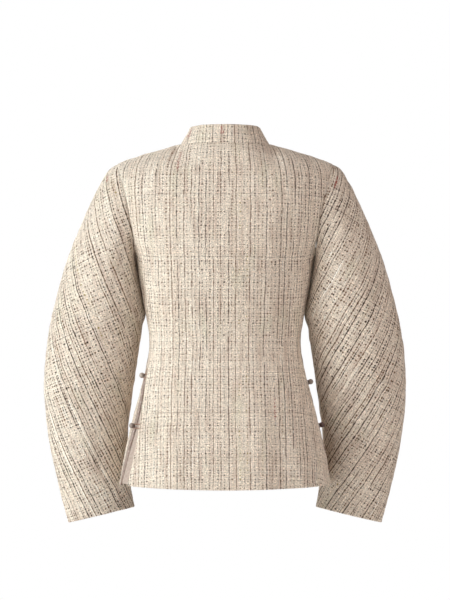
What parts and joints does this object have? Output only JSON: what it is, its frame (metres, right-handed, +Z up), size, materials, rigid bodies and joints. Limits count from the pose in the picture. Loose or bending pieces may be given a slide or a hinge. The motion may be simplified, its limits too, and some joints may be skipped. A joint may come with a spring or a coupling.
{
  "type": "cropped tweed jacket",
  "caption": "Worn, hollow cropped tweed jacket: stand collar, curved barrel sleeves, nipped waist, and flared side vents closed by ball buttons.",
  "frame": {"origin": "middle of the neck seam, level with its back: where the wearer's neck and shoulders hold the jacket", "axes": "+Z up, -Y the way the jacket's front faces, +X to the wearer's left"},
  "size_m": [0.6162, 0.252, 0.6795],
  "materials": {
    "tweed": "woven tweed, cream and beige with dark brown slubs",
    "tweed_facing": "plain taupe cloth",
    "button": "taupe ball, low sheen",
    "loop_cord": "brown cord"
  },
  "bodies": {
    "root": {"back": "tweed", "collar": "tweed", "front_button_1": "button", "front_button_2": "button", "front_button_3": "button", "front_button_4": "button", "front_button_5": "button", "front_left": "tweed", "front_loop_1": "loop_cord", "front_loop_2": "loop_cord", "front_loop_3": "loop_cord", "front_loop_4": "loop_cord", "front_loop_5": "loop_cord", "front_right": "tweed", "side_button_left_1": "button", "side_button_left_2": "button", "side_button_right_1": "button", "side_button_right_2": "button", "side_loop_left_1": "loop_cord", "side_loop_left_2": "loop_cord", "side_loop_right_1": "loop_cord", "side_loop_right_2": "loop_cord", "sleeve_back_left": "tweed", "sleeve_back_right": "tweed", "sleeve_front_left": "tweed", "sleeve_front_right": "tweed", "vent_underlap_left": "tweed_facing", "vent_underlap_right": "tweed_facing"}
  },
  "joints": []
}
